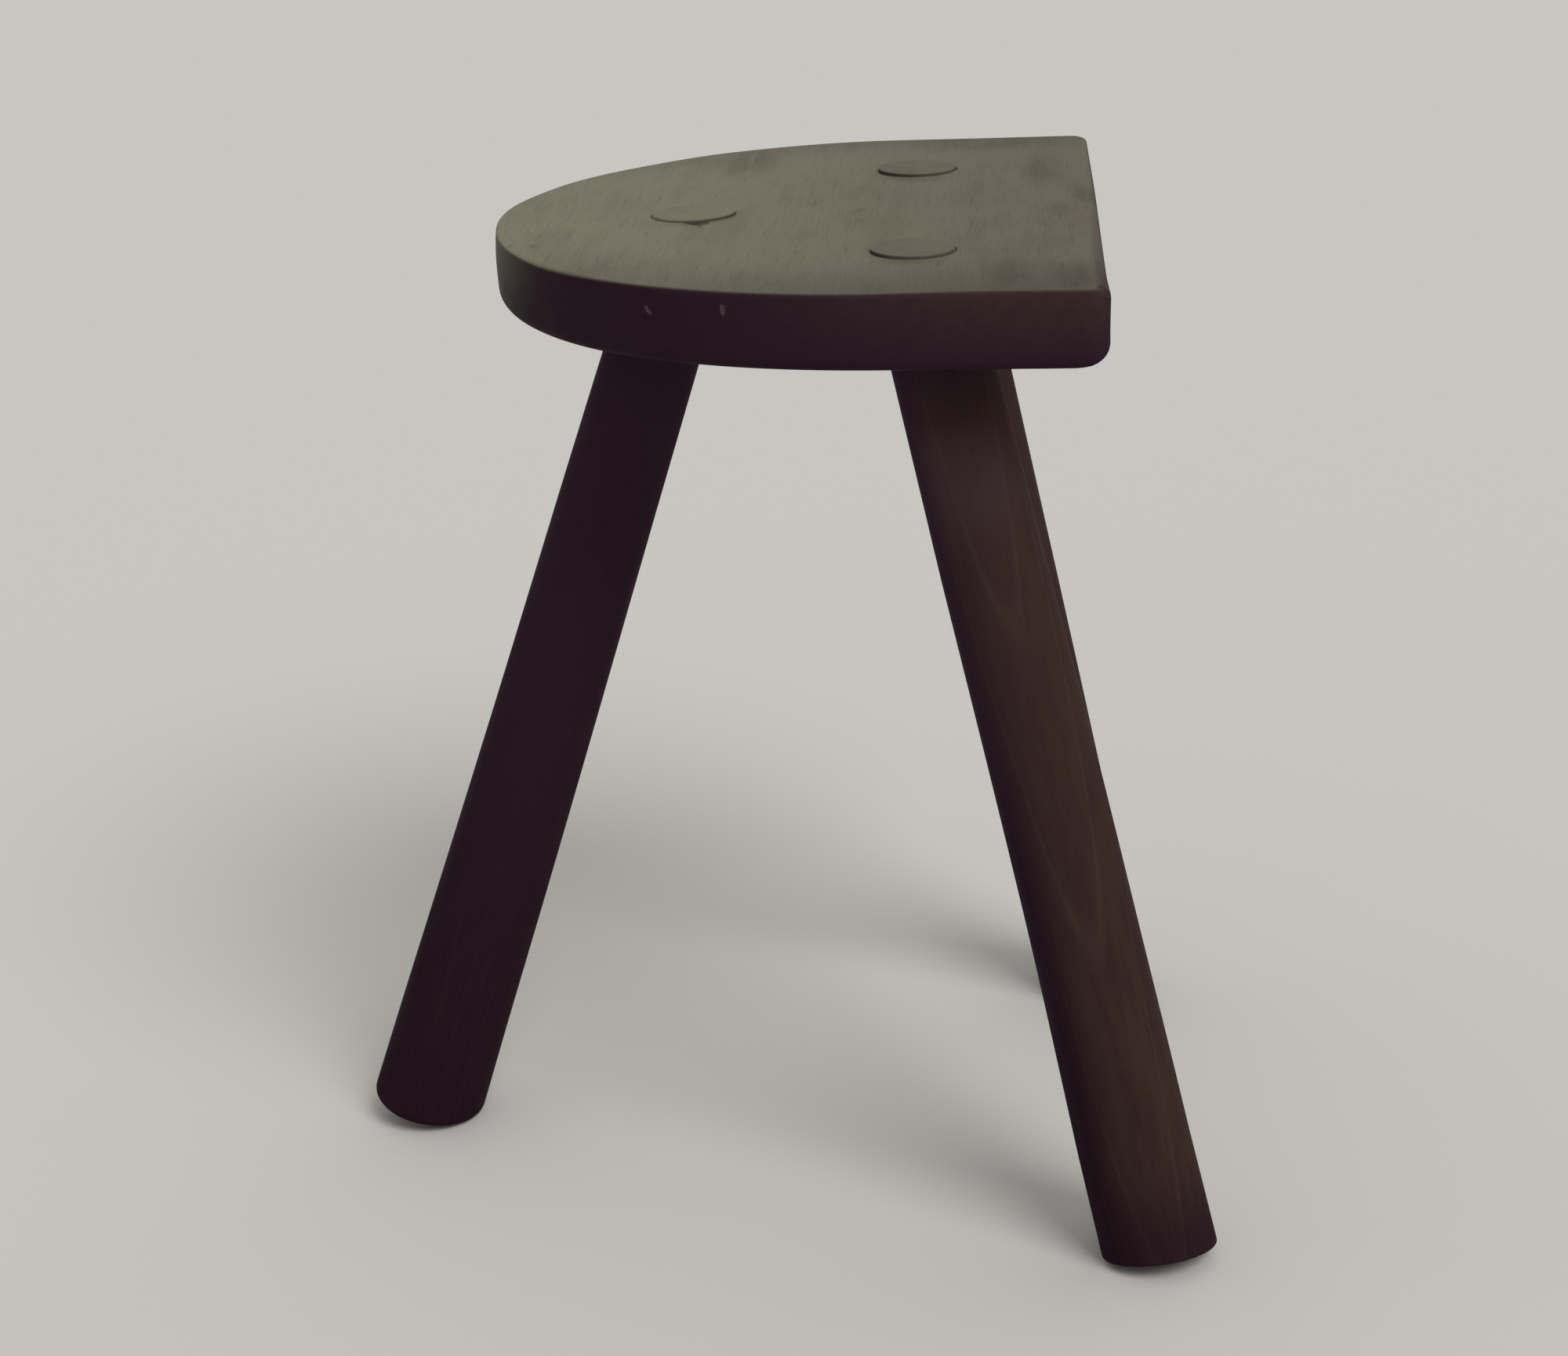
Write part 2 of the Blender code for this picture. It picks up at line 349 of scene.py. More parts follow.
# The drilling plan: where each leg's middle line comes out of the top, how far the leg leans and towards which
# compass side, how thick it is under the board, and its tenon: how thick, how loose, and how far off that line
def drilling(x, y, lean_degrees, heading_degrees, shoulder_diameter, tenon_diameter, slack, tenon_shift):
    lean = math.radians(lean_degrees)
    heading = math.radians(heading_degrees)
    head = Vector((x, y, board_high.z))
    run = board_high.z * math.tan(lean)
    foot = Vector((x + run * math.cos(heading), y + run * math.sin(heading), 0.0))
    return {"head": head, "foot": foot, "axis": (head - foot).normalized(), "slack": slack,
            "tenon_shift": Vector((tenon_shift, 0.0, 0.0)),
            "shoulder_radius": shoulder_diameter / 2, "tenon_radius": tenon_diameter / 2}


drilling_plan = {
    "nose_leg": drilling(board_low.x + 0.0785, -0.0025, 19.6, 178.8, 0.0381, 0.0316, 0.00018, 0.0004),
    "front_leg": drilling(board_high.x - 0.0699, -0.0800, 13.7, -24.7, 0.0389, 0.0308, 0.00018, -0.0012),
    "back_leg": drilling(board_high.x - 0.0725, 0.0785, 11.9, 28.1, 0.0394, 0.0320, 0.00018, -0.0012),
}


def cutter_object(name, builder, bareness, wear):
    """A hidden solid that cuts the board, with how far the wood it lays open is stripped of stain, and how much pale
    top colour, wear and painted sheen, it takes on.
    """
    mesh = bpy.data.meshes.new(name)
    builder.to_mesh(mesh)
    builder.free()
    bare_and_painted_light = mesh.attributes.new("bare_and_painted_light", "FLOAT", "FACE")
    bare_and_painted_light.data.foreach_set("value", [bareness] * len(mesh.polygons))
    sat_on_and_sheen = mesh.attributes.new("sat_on_and_sheen", "FLOAT", "CORNER")
    sat_on_and_sheen.data.foreach_set("value", [wear] * len(mesh.loops))
    cutter = bpy.data.objects.new(name, mesh)
    bpy.context.scene.collection.objects.link(cutter)
    return cutter


mortise_builder = bmesh.new()
mortise_overrun = 0.02
for plan in drilling_plan.values():
    shoulder = plan["head"] - plan["axis"] * ((board_high.z - board_low.z) / plan["axis"].z)
    outlet = plan["head"] + plan["tenon_shift"]
    bore = outlet - shoulder
    widening = (plan["tenon_radius"] - plan["shoulder_radius"]) * mortise_overrun / bore.length
    low = shoulder - bore.normalized() * mortise_overrun
    high = outlet + bore.normalized() * mortise_overrun
    turned_bore = Matrix.Translation((low + high) / 2) @ bore.to_track_quat("Z", "Y").to_matrix().to_4x4()
    bmesh.ops.create_cone(mortise_builder, cap_ends=True, segments=144, depth=(high - low).length, matrix=turned_bore,
                          radius1=plan["shoulder_radius"] - widening + plan["slack"],
                          radius2=plan["tenon_radius"] + widening + plan["slack"])
mortises = cutter_object("mortise_cutters", mortise_builder, 0.2, 0.0)


# Knocks and splinters: each is a small wedge out of the wood, given by its corners on the skin and its deepest point
def knock(builder, corners, deepest):
    """A pit with a ragged outline: the corners stand clear of the skin and the deepest point lies under it."""
    rim = [builder.verts.new(corner) for corner in corners]
    pit = builder.verts.new(deepest)
    for i in range(len(rim)):
        builder.faces.new((rim[i], rim[(i + 1) % len(rim)], pit))
    builder.faces.new(list(reversed(rim)))


def side_knock(builder, x, y, height, outline, depth):
    """A knock in the board's side: its outline is given along the side, to the right as seen, and upwards."""
    nearest = min(edge_points, key=lambda edge: (edge.place - Vector((x, y))).length)
    outward = nearest.outward.to_3d()
    rightward = Vector((-outward.y, outward.x, 0.0))
    spot = Vector((nearest.place.x, nearest.place.y, height))
    clear = 0.0005
    corners = [spot + outward * clear + rightward * right + Vector((0.0, 0.0, up)) for right, up in outline]
    knock(builder, corners, spot - outward * depth)


splinter_builder = bmesh.new()
nose_tenon = drilling_plan["nose_leg"]["head"]
splinter = [(-0.0045, -0.0146), (0.0088, -0.0136), (0.0096, -0.0180), (0.0078, -0.0212), (0.0058, -0.0226),
            (0.0046, -0.0290), (0.0028, -0.0236), (0.0006, -0.0224), (-0.0014, -0.0202), (-0.0040, -0.0186)]
knock(splinter_builder, [(nose_tenon.x + x, nose_tenon.y + y, board_high.z + 0.0004) for x, y in splinter],
      (nose_tenon.x + 0.0040, nose_tenon.y - 0.0165, board_high.z - 0.0016))
splinters = cutter_object("splinter_cutter", splinter_builder, 0.1, 0.55)
knock_builder = bmesh.new()
slanting_nick = [(-0.0030, 0.0026), (-0.0004, 0.0030), (0.0030, -0.0012), (0.0024, -0.0032), (-0.0010, -0.0014)]
upright_nick = [(-0.0018, 0.0032), (0.0020, 0.0026), (0.0016, -0.0022), (0.0000, -0.0050), (-0.0018, -0.0020)]
side_knock(knock_builder, -0.0237, -0.128, board_high.z - 0.0090, slanting_nick, 0.0008)
side_knock(knock_builder, 0.0050, -0.141, board_high.z - 0.0064, upright_nick, 0.0008)
knocks = cutter_object("knock_cutters", knock_builder, 0.8, 0.0)

for cutter in (splinters, knocks, mortises):
    cut = seat_board.modifiers.new(cutter.name, "BOOLEAN")
    cut.operation = "DIFFERENCE"
    cut.solver = "MANIFOLD"
    cut.object = cutter
bpy.context.view_layer.update()
cut_board = seat_board.evaluated_get(bpy.context.evaluated_depsgraph_get())
finished_mesh = bpy.data.meshes.new_from_object(cut_board)
seat_board.modifiers.clear()
seat_board.data = finished_mesh
for cutter in (splinters, knocks, mortises):
    bpy.data.objects.remove(cutter, do_unlink=True)
finished_mesh.shade_smooth()
finished_mesh.set_sharp_from_angle(angle=math.radians(34))


# The stained wood of the board. Its node groups serve the legs as well
def add_node(tree, kind, inputs=None, **settings):
    """Adds a node, sets its properties, and fills its inputs with values or from other nodes' sockets."""
    made = tree.nodes.new(kind)
    for name, value in settings.items():
        setattr(made, name, value)
    for key, value in (inputs or {}).items():
        if isinstance(value, bpy.types.NodeSocket):
            tree.links.new(value, made.inputs[key])
        else:
            made.inputs[key].default_value = value
    return made


def reckon(tree, operation, *values):
    """One sum on numbers: the output socket of a Math node."""
    return add_node(tree, "ShaderNodeMath", dict(enumerate(values)), operation=operation).outputs[0]


def stretch(tree, vector, factors):
    """A vector with each of its three parts multiplied by its own factor."""
    return add_node(tree, "ShaderNodeVectorMath", {0: vector, 1: factors}, operation="MULTIPLY").outputs[0]


def between(tree, value, low, high, low_result=0.0, high_result=1.0):
    """A value mapped smoothly from one span to another, and held at its ends."""
    made = add_node(tree, "ShaderNodeMapRange", {0: value, 1: low, 2: high, 3: low_result, 4: high_result},
                    interpolation_type="SMOOTHSTEP")
    return made.outputs[0]


def blotch(tree, vector, scale, detail, roughness=0.5):
    """Cloudy noise over a vector."""
    made = add_node(tree, "ShaderNodeTexNoise", {"Vector": vector, "Scale": scale, "Detail": detail,
                                                 "Roughness": roughness})
    return made.outputs["Fac"]


def mix_colour(tree, share, first, second, way="MIX"):
    """Two colours mixed by a share."""
    made = add_node(tree, "ShaderNodeMix", {0: share, 6: first, 7: second}, data_type="RGBA", blend_type=way)
    return made.outputs[2]


def node_group(name, inputs, outputs):
    """An empty shader node group with named inputs and outputs."""
    group = bpy.data.node_groups.new(name, "ShaderNodeTree")
    for socket_name, kind, value in inputs:
        socket = group.interface.new_socket(socket_name, in_out="INPUT", socket_type=kind)
        if value is not None:
            socket.default_value = value
    for socket_name in outputs:
        group.interface.new_socket(socket_name, in_out="OUTPUT", socket_type="NodeSocketFloat")
    return group, group.nodes.new("NodeGroupInput").outputs, group.nodes.new("NodeGroupOutput").inputs


# Grain: growth rings round the pith, long fibres along it, and short open pores. Z runs along the grain
grain, grain_in, grain_out = node_group(
    "wood_grain",
    [("Place", "NodeSocketVector", None), ("Ring Width", "NodeSocketFloat", 0.004),
     ("Ring Softness", "NodeSocketFloat", 0.65), ("Wander", "NodeSocketFloat", 0.01),
     ("Fibre Width", "NodeSocketFloat", 0.0008)],
    ["Rings", "Fibre", "Pores"])
drift = add_node(grain, "ShaderNodeTexNoise", {"Vector": stretch(grain, grain_in["Place"], (14.0, 14.0, 3.5)),
                                               "Scale": 1.0, "Detail": 2.0})
drift_centred = add_node(grain, "ShaderNodeVectorMath", {0: drift.outputs["Color"], 1: (0.5, 0.5, 0.5)},
                         operation="SUBTRACT").outputs[0]
drift_scaled = add_node(grain, "ShaderNodeVectorMath", {0: drift_centred}, operation="SCALE")
grain.links.new(grain_in["Wander"], drift_scaled.inputs["Scale"])
wandered = add_node(grain, "ShaderNodeVectorMath", {0: grain_in["Place"], 1: drift_scaled.outputs[0]},
                    operation="ADD").outputs[0]
across = stretch(grain, wandered, (1.0, 1.0, 0.0))
pith_distance = add_node(grain, "ShaderNodeVectorMath", {0: across}, operation="LENGTH").outputs["Value"]
ring_count = reckon(grain, "DIVIDE", pith_distance, grain_in["Ring Width"])
ring_wave = reckon(grain, "PINGPONG", ring_count, 0.5)
ring_start = reckon(grain, "SUBTRACT", 1.0, grain_in["Ring Softness"])
grain.links.new(between(grain, reckon(grain, "MULTIPLY", ring_wave, 2.0), ring_start, 1.0), grain_out["Rings"])
fibre_scale = reckon(grain, "DIVIDE", 1.0, grain_in["Fibre Width"])
thin_fibre = stretch(grain, wandered, (1.0, 1.0, 0.018))
fibre_noise = add_node(grain, "ShaderNodeTexNoise", {"Vector": thin_fibre, "Scale": fibre_scale, "Detail": 3.0,
                                                     "Roughness": 0.62})
grain.links.new(fibre_noise.outputs["Fac"], grain_out["Fibre"])
short_pore = stretch(grain, wandered, (1.3, 1.3, 0.06))
pore_noise = add_node(grain, "ShaderNodeTexNoise", {"Vector": short_pore, "Scale": fibre_scale, "Detail": 1.0})
grain.links.new(between(grain, pore_noise.outputs["Fac"], 0.60, 0.74), grain_out["Pores"])

# Patina: broad patches where the wax has dulled, and fine scuffs. Z runs along the grain here too
patina, patina_in, patina_out = node_group(
    "worn_patina", [("Place", "NodeSocketVector", None), ("Patch Size", "NodeSocketFloat", 0.03)],
    ["Patches", "Flecks", "Scuffs"])
patch_scale = reckon(patina, "DIVIDE", 1.0, patina_in["Patch Size"])
broad = add_node(patina, "ShaderNodeTexNoise", {"Vector": stretch(patina, patina_in["Place"], (1.0, 1.0, 0.45)),
                                                "Scale": patch_scale, "Detail": 2.5, "Roughness": 0.55})
ragged = add_node(patina, "ShaderNodeTexNoise", {"Vector": stretch(patina, patina_in["Place"], (1.0, 1.0, 0.16)),
                                                 "Scale": reckon(patina, "MULTIPLY", patch_scale, 5.0), "Detail": 3.0})
patch_sum = reckon(patina, "ADD", broad.outputs["Fac"],
                   reckon(patina, "MULTIPLY", reckon(patina, "SUBTRACT", ragged.outputs["Fac"], 0.5), 0.45))
patina.links.new(between(patina, patch_sum, 0.44, 0.72), patina_out["Patches"])
patina.links.new(ragged.outputs["Fac"], patina_out["Flecks"])
scuff_long = blotch(patina, stretch(patina, patina_in["Place"], (900.0, 900.0, 45.0)), 1.0, 1.0)
patina.links.new(between(patina, scuff_long, 0.62, 0.78), patina_out["Scuffs"])


def stained_wood(name, place_of, pith_turn, dark, red, thin_and_lit_stain, rubbed_stain, ring_line, worn, worn_red,
                 bare_and_lit_colour, ring_width, ring_softness, ring_strength, wander, patch_size, shine):
    """Dark stained and waxed wood: brown where the stain is rubbed, pale and dull where it is sat on. The rubbed brown
    is partly painted light, and the pale top colour is partly painted sheen.
    """
    material = bpy.data.materials.new(name)
    material.use_nodes = True
    tree = material.node_tree
    shader = tree.nodes["Principled BSDF"]
    place = pith_turn(tree, place_of(tree))
    figure = add_node(tree, "ShaderNodeGroup", node_tree=grain)
    tree.links.new(place, figure.inputs["Place"])
    figure.inputs["Ring Width"].default_value = ring_width
    figure.inputs["Ring Softness"].default_value = ring_softness
    figure.inputs["Wander"].default_value = wander
    figure.inputs["Fibre Width"].default_value = 0.0009
    wear = add_node(tree, "ShaderNodeGroup", node_tree=patina)
    tree.links.new(place, wear.inputs["Place"])
    wear.inputs["Patch Size"].default_value = patch_size
    sat_on_and_sheen = add_node(tree, "ShaderNodeAttribute", attribute_name="sat_on_and_sheen").outputs["Fac"]
    thin_and_lit = add_node(tree, "ShaderNodeAttribute", attribute_name="thin_and_lit").outputs["Fac"]
    rubbed = add_node(tree, "ShaderNodeAttribute", attribute_name="rubbed").outputs["Fac"]
    bare_and_painted_light = add_node(tree, "ShaderNodeAttribute", attribute_name="bare_and_painted_light").outputs["Fac"]
    wax_gone = add_node(tree, "ShaderNodeAttribute", attribute_name="wax_lost").outputs["Fac"]

    stain = mix_colour(tree, between(tree, figure.outputs["Fibre"], 0.3, 0.7, 0.0, 0.5), dark, red)
    # On the legs, the lighter stain towards the seat is partly painted light
    stain = mix_colour(tree, thin_and_lit, stain, thin_and_lit_stain)
    patchy_rub = reckon(tree, "MULTIPLY", rubbed, between(tree, wear.outputs["Flecks"], 0.30, 0.62, 0.78, 1.10))
    stain = mix_colour(tree, patchy_rub, stain, rubbed_stain)
    ring_share = reckon(tree, "MULTIPLY", figure.outputs["Rings"],
                        reckon(tree, "MULTIPLY_ADD", wear.outputs["Patches"], -0.6 * ring_strength, ring_strength))
    stain = mix_colour(tree, reckon(tree, "MULTIPLY", ring_share, reckon(tree, "MULTIPLY_ADD", rubbed, 0.95, 0.05)),
                       stain, ring_line)
    ragged_loss = reckon(tree, "MULTIPLY", wax_gone, between(tree, wear.outputs["Flecks"], 0.30, 0.56, 0.5, 1.0))
    lost = reckon(tree, "MAXIMUM", ragged_loss, reckon(tree, "MULTIPLY", wear.outputs["Patches"], 0.15))
    top = mix_colour(tree, lost, worn, worn_red)
    top = mix_colour(tree, between(tree, figure.outputs["Fibre"], 0.3, 0.72, 0.0, 0.18), top, worn_red)
    # Where sat on, the pale top colour: partly wear, partly painted sheen
    colour = mix_colour(tree, sat_on_and_sheen, stain, top)
    colour = mix_colour(tree, reckon(tree, "MULTIPLY", figure.outputs["Pores"], 0.25), colour, dark)
    # Bare wood colour where knocks, the splinter and the mortises lay the wood open, and as painted light in a band on
    # the legs below the seat
    colour = mix_colour(tree, bare_and_painted_light, colour, bare_and_lit_colour)
    tree.links.new(colour, shader.inputs["Base Color"])

    dulled = reckon(tree, "MULTIPLY_ADD", wear.outputs["Patches"], 0.14, 0.50)
    fuzz = reckon(tree, "MULTIPLY_ADD", figure.outputs["Fibre"], 0.12, dulled)
    rough = reckon(tree, "MULTIPLY_ADD", bare_and_painted_light, 0.25, fuzz)
    tree.links.new(rough, shader.inputs["Roughness"])
    shader.inputs["Specular IOR Level"].default_value = shine
    sheen_share = reckon(tree, "MULTIPLY", sat_on_and_sheen, 0.12)
    wax = reckon(tree, "MULTIPLY", sheen_share, reckon(tree, "MULTIPLY_ADD", lost, -0.7, 1.0))
    tree.links.new(wax, shader.inputs["Coat Weight"])
    shader.inputs["Coat Roughness"].default_value = 0.36

    dents = reckon(tree, "MULTIPLY", figure.outputs["Pores"], -0.5)
    height = reckon(tree, "MULTIPLY_ADD", figure.outputs["Fibre"], 0.5, dents)
    height = reckon(tree, "MULTIPLY_ADD", wear.outputs["Scuffs"], -0.4, height)
    bump = add_node(tree, "ShaderNodeBump", {"Strength": 0.25, "Distance": 0.0002, "Height": height})
    tree.links.new(bump.outputs["Normal"], shader.inputs["Normal"])
    return material


def object_place(tree):
    return add_node(tree, "ShaderNodeTexCoord").outputs["Object"]


def board_pith(tree, place):
    """Grain from side to side: the pith lies above the board, a little off its middle."""
    turned = add_node(tree, "ShaderNodeMapping", {"Vector": place, "Location": (-0.035, 0.56, 0.0),
                                                  "Rotation": (math.radians(90), 0.0, math.radians(1.5))})
    return turned.outputs[0]


# The top's pale colour is partly wear and partly painted sheen, the pale surround mirrored in the wax
pale_top_colours = {"worn": (0.209, 0.197, 0.138, 1.0), "worn_red": (0.115, 0.099, 0.069, 1.0),
            "bare_and_lit_colour": (0.101, 0.062, 0.077, 1.0)}
seat_wood = stained_wood(
    "seat_wood", object_place, board_pith,
    dark=(0.0225, 0.0092, 0.0185, 1.0), red=(0.034, 0.0165, 0.0225, 1.0), thin_and_lit_stain=(0.035, 0.0145, 0.028, 1.0),
    rubbed_stain=(0.060, 0.034, 0.032, 1.0), ring_line=(0.066, 0.040, 0.038, 1.0), ring_width=0.0045,
    ring_softness=0.65, ring_strength=0.10, wander=0.012, patch_size=0.030, shine=0.030, **pale_top_colours)
finished_mesh.materials.clear()
finished_mesh.materials.append(seat_wood)
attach(seat_board, "root")
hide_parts("seat")


# The three legs
# Each is one straight stick, shaved round and thicker towards the floor, of the same stained wood as the seat.
# Its top is a tapered tenon driven through the seat, trimmed level there and left standing a little proud.
# The foot is sawn off square to the leg, so it stands on its inner rim, and the rim is rubbed round.
leg_tree = bpy.data.node_groups.new("tapered_leg", "GeometryNodeTree")
leg_tree.interface.new_socket("Leg", in_out="OUTPUT", socket_type="NodeSocketGeometry")
leg_sizes = {
    "Foot": "NodeSocketVector", "Head": "NodeSocketVector",
    "Foot Radius": "NodeSocketFloat", "Shoulder Radius": "NodeSocketFloat", "Tenon Radius": "NodeSocketFloat",
    "Shoulder Height": "NodeSocketFloat", "Top Height": "NodeSocketFloat", "Tenon Shift": "NodeSocketVector",
    "Sole Cut": "NodeSocketFloat", "Sole Slant": "NodeSocketVector", "Rim Radius": "NodeSocketFloat",
    "Top Rim Radius": "NodeSocketFloat", "Top Dome": "NodeSocketFloat", "Top Slope": "NodeSocketVector",
    "Top Tone": "NodeSocketFloat",
    "Unevenness": "NodeSocketFloat", "Waist": "NodeSocketFloat", "Bow": "NodeSocketVector", "Seed": "NodeSocketFloat",
    "Pith": "NodeSocketVector", "Grain Slope": "NodeSocketVector",
    "Rubbed": "NodeSocketFloat", "Rubbed And Lit Side": "NodeSocketVector", "Wood": "NodeSocketMaterial",
}
leg_sockets = {}
for socket_name, kind in leg_sizes.items():
    made = leg_tree.interface.new_socket(socket_name, in_out="INPUT", socket_type=kind)
    leg_sockets[socket_name] = made.identifier
leg_in = leg_tree.nodes.new("NodeGroupInput").outputs
leg_out = leg_tree.nodes.new("NodeGroupOutput").inputs


def vector_reckon(tree, operation, *values):
    """One sum on vectors: the output sockets of a Vector Math node."""
    return add_node(tree, "ShaderNodeVectorMath", dict(enumerate(values)), operation=operation).outputs


def parts_of(tree, vector):
    return add_node(tree, "ShaderNodeSeparateXYZ", {0: vector}).outputs


def vector_of(tree, x, y, z):
    return add_node(tree, "ShaderNodeCombineXYZ", {0: x, 1: y, 2: z}).outputs[0]


# The leg's axis, and distances up it
leg_span = vector_reckon(leg_tree, "SUBTRACT", leg_in["Head"], leg_in["Foot"])[0]
leg_axis = vector_reckon(leg_tree, "NORMALIZE", leg_span)[0]
axis_rise = parts_of(leg_tree, leg_axis)[2]
shoulder_along = reckon(leg_tree, "DIVIDE", leg_in["Shoulder Height"], axis_rise)
head_along = vector_reckon(leg_tree, "LENGTH", leg_span)["Value"]
top_along = reckon(leg_tree, "DIVIDE", leg_in["Top Height"], axis_rise)
end_along = reckon(leg_tree, "ADD", top_along, 0.009)
tenon_length = reckon(leg_tree, "SUBTRACT", head_along, shoulder_along)
past_head = reckon(leg_tree, "DIVIDE", reckon(leg_tree, "SUBTRACT", end_along, head_along), tenon_length)
tenon_taper = reckon(leg_tree, "SUBTRACT", leg_in["Tenon Radius"], leg_in["Shoulder Radius"])
end_radius = reckon(leg_tree, "MULTIPLY_ADD", tenon_taper, past_head, leg_in["Tenon Radius"])

# The half profile: from the middle of the sole out to its rim, up the taper and the tenon, and in again on top
profile_line = add_node(leg_tree, "GeometryNodeMeshLine", {"Count": 5})
profile_curve = add_node(leg_tree, "GeometryNodeMeshToCurve", {0: profile_line.outputs[0]})
corner_number = add_node(leg_tree, "GeometryNodeInputIndex").outputs[0]
corners = add_node(leg_tree, "GeometryNodeIndexSwitch", {0: corner_number}, data_type="VECTOR")
corner_places = [
    vector_of(leg_tree, 0.0, 0.0, leg_in["Sole Cut"]),
    vector_of(leg_tree, leg_in["Foot Radius"], 0.0, leg_in["Sole Cut"]),
    vector_of(leg_tree, leg_in["Shoulder Radius"], 0.0, shoulder_along),
    vector_of(leg_tree, end_radius, 0.0, end_along),
    vector_of(leg_tree, 0.0, 0.0, end_along),
]
while len(corners.index_switch_items) < len(corner_places):
    corners.index_switch_items.new()
for number, place in enumerate(corner_places):
    leg_tree.links.new(place, corners.inputs[number + 1])
profile_shaped = add_node(leg_tree, "GeometryNodeSetPosition", {"Geometry": profile_curve.outputs[0],
                                                                "Position": corners.outputs[0]})
at_rim = add_node(leg_tree, "FunctionNodeCompare", {2: corner_number, 3: 1}, data_type="INT", operation="EQUAL")
rim_radius = reckon(leg_tree, "MULTIPLY", at_rim.outputs[0], leg_in["Rim Radius"])
profile = add_node(leg_tree, "GeometryNodeFilletCurve", {"Curve": profile_shaped.outputs[0], "Count": 14,
                                                         "Radius": rim_radius}, mode="POLY")

# A closed tube of rows and columns that takes on the profile, with its rows closest at the two rims
columns_around = 144
rows_along = 300
rows_on_profile = 0.994
tube = add_node(leg_tree, "GeometryNodeMeshCylinder", {"Vertices": columns_around, "Side Segments": rows_along - 1,
                                                       "Radius": 1.0, "Depth": 1.0}, fill_type="TRIANGLE_FAN")
tube_place = add_node(leg_tree, "GeometryNodeInputPosition").outputs[0]
round_x, round_y, up_tube = parts_of(leg_tree, tube_place)
row_share = reckon(leg_tree, "MULTIPLY_ADD", up_tube, rows_on_profile, 0.5)
row_spacing = add_node(leg_tree, "ShaderNodeFloatCurve", {"Value": row_share})
spacing_line = row_spacing.mapping.curves[0]
for share, reached in ((0.10, 0.038), (0.26, 0.064), (0.76, 0.938), (0.92, 0.968)):
    spacing_line.points.new(share, reached)
for point in spacing_line.points:
    point.handle_type = "VECTOR"
row_spacing.mapping.update()
on_profile = add_node(leg_tree, "GeometryNodeSampleCurve", {"Curves": profile.outputs[0],
                                                            "Factor": row_spacing.outputs[0]}, mode="FACTOR")
radius, blank, distance = parts_of(leg_tree, on_profile.outputs["Position"])

# The shaving was done by eye: the stick is slightly uneven and bowed, but true inside the seat
below_seat = between(leg_tree, distance, reckon(leg_tree, "SUBTRACT", shoulder_along, 0.07),
                     reckon(leg_tree, "SUBTRACT", shoulder_along, 0.004), 1.0, 0.0)
shaving_place = vector_of(leg_tree, reckon(leg_tree, "MULTIPLY_ADD", round_x, 1.1, leg_in["Seed"]),
                          reckon(leg_tree, "MULTIPLY", round_y, 1.1), reckon(leg_tree, "MULTIPLY", distance, 7.0))
shaving = add_node(leg_tree, "ShaderNodeTexNoise", {"Vector": shaving_place, "Scale": 1.0, "Detail": 1.5})
uneven = reckon(leg_tree, "MULTIPLY", reckon(leg_tree, "SUBTRACT", shaving.outputs["Fac"], 0.5),
                reckon(leg_tree, "MULTIPLY", leg_in["Unevenness"], below_seat))
waist_start = reckon(leg_tree, "MULTIPLY", top_along, 0.10)
waist_middle = reckon(leg_tree, "MULTIPLY", top_along, 0.34)
waist_end = reckon(leg_tree, "MULTIPLY", top_along, 0.62)
waist_share = reckon(leg_tree, "MULTIPLY", between(leg_tree, distance, waist_start, waist_middle),
                     between(leg_tree, distance, waist_middle, waist_end, 1.0, 0.0))
lean_cut = reckon(leg_tree, "MULTIPLY", leg_in["Waist"], waist_share)
shaved_off = reckon(leg_tree, "DIVIDE", reckon(leg_tree, "SUBTRACT", uneven, lean_cut), leg_in["Foot Radius"])
shaved_radius = reckon(leg_tree, "MULTIPLY", radius, reckon(leg_tree, "ADD", 1.0, shaved_off))
bow_start = reckon(leg_tree, "MULTIPLY", top_along, 0.12)
bow_span = reckon(leg_tree, "MULTIPLY", top_along, 0.58)
up_bow = add_node(leg_tree, "ShaderNodeClamp", {0: reckon(leg_tree, "DIVIDE", reckon(
    leg_tree, "SUBTRACT", distance, bow_start), bow_span)}).outputs[0]
bow_share = reckon(leg_tree, "SINE", reckon(leg_tree, "MULTIPLY", math.pi, up_bow))
bow_here = vector_reckon(leg_tree, "MULTIPLY", leg_in["Bow"],
                         vector_of(leg_tree, bow_share, bow_share, bow_share))[0]
up_tenon = reckon(leg_tree, "MAXIMUM", 0.0, reckon(leg_tree, "DIVIDE", reckon(
    leg_tree, "SUBTRACT", distance, shoulder_along), tenon_length))
shift_here = vector_reckon(leg_tree, "MULTIPLY", leg_in["Tenon Shift"],
                           vector_of(leg_tree, up_tenon, up_tenon, up_tenon))[0]
aside = vector_reckon(leg_tree, "ADD", bow_here, shift_here)[0]
turned = vector_of(leg_tree, reckon(leg_tree, "MULTIPLY", shaved_radius, round_x),
                   reckon(leg_tree, "MULTIPLY", shaved_radius, round_y), distance)
near_sole = between(leg_tree, distance, 0.0, 0.05, 1.0, 0.0)
slant = vector_reckon(leg_tree, "DOT_PRODUCT", turned, leg_in["Sole Slant"])["Value"]
slanted = reckon(leg_tree, "MULTIPLY", slant, near_sole)
shaped = vector_reckon(leg_tree, "ADD", turned, vector_of(leg_tree, 0.0, 0.0, slanted))[0]

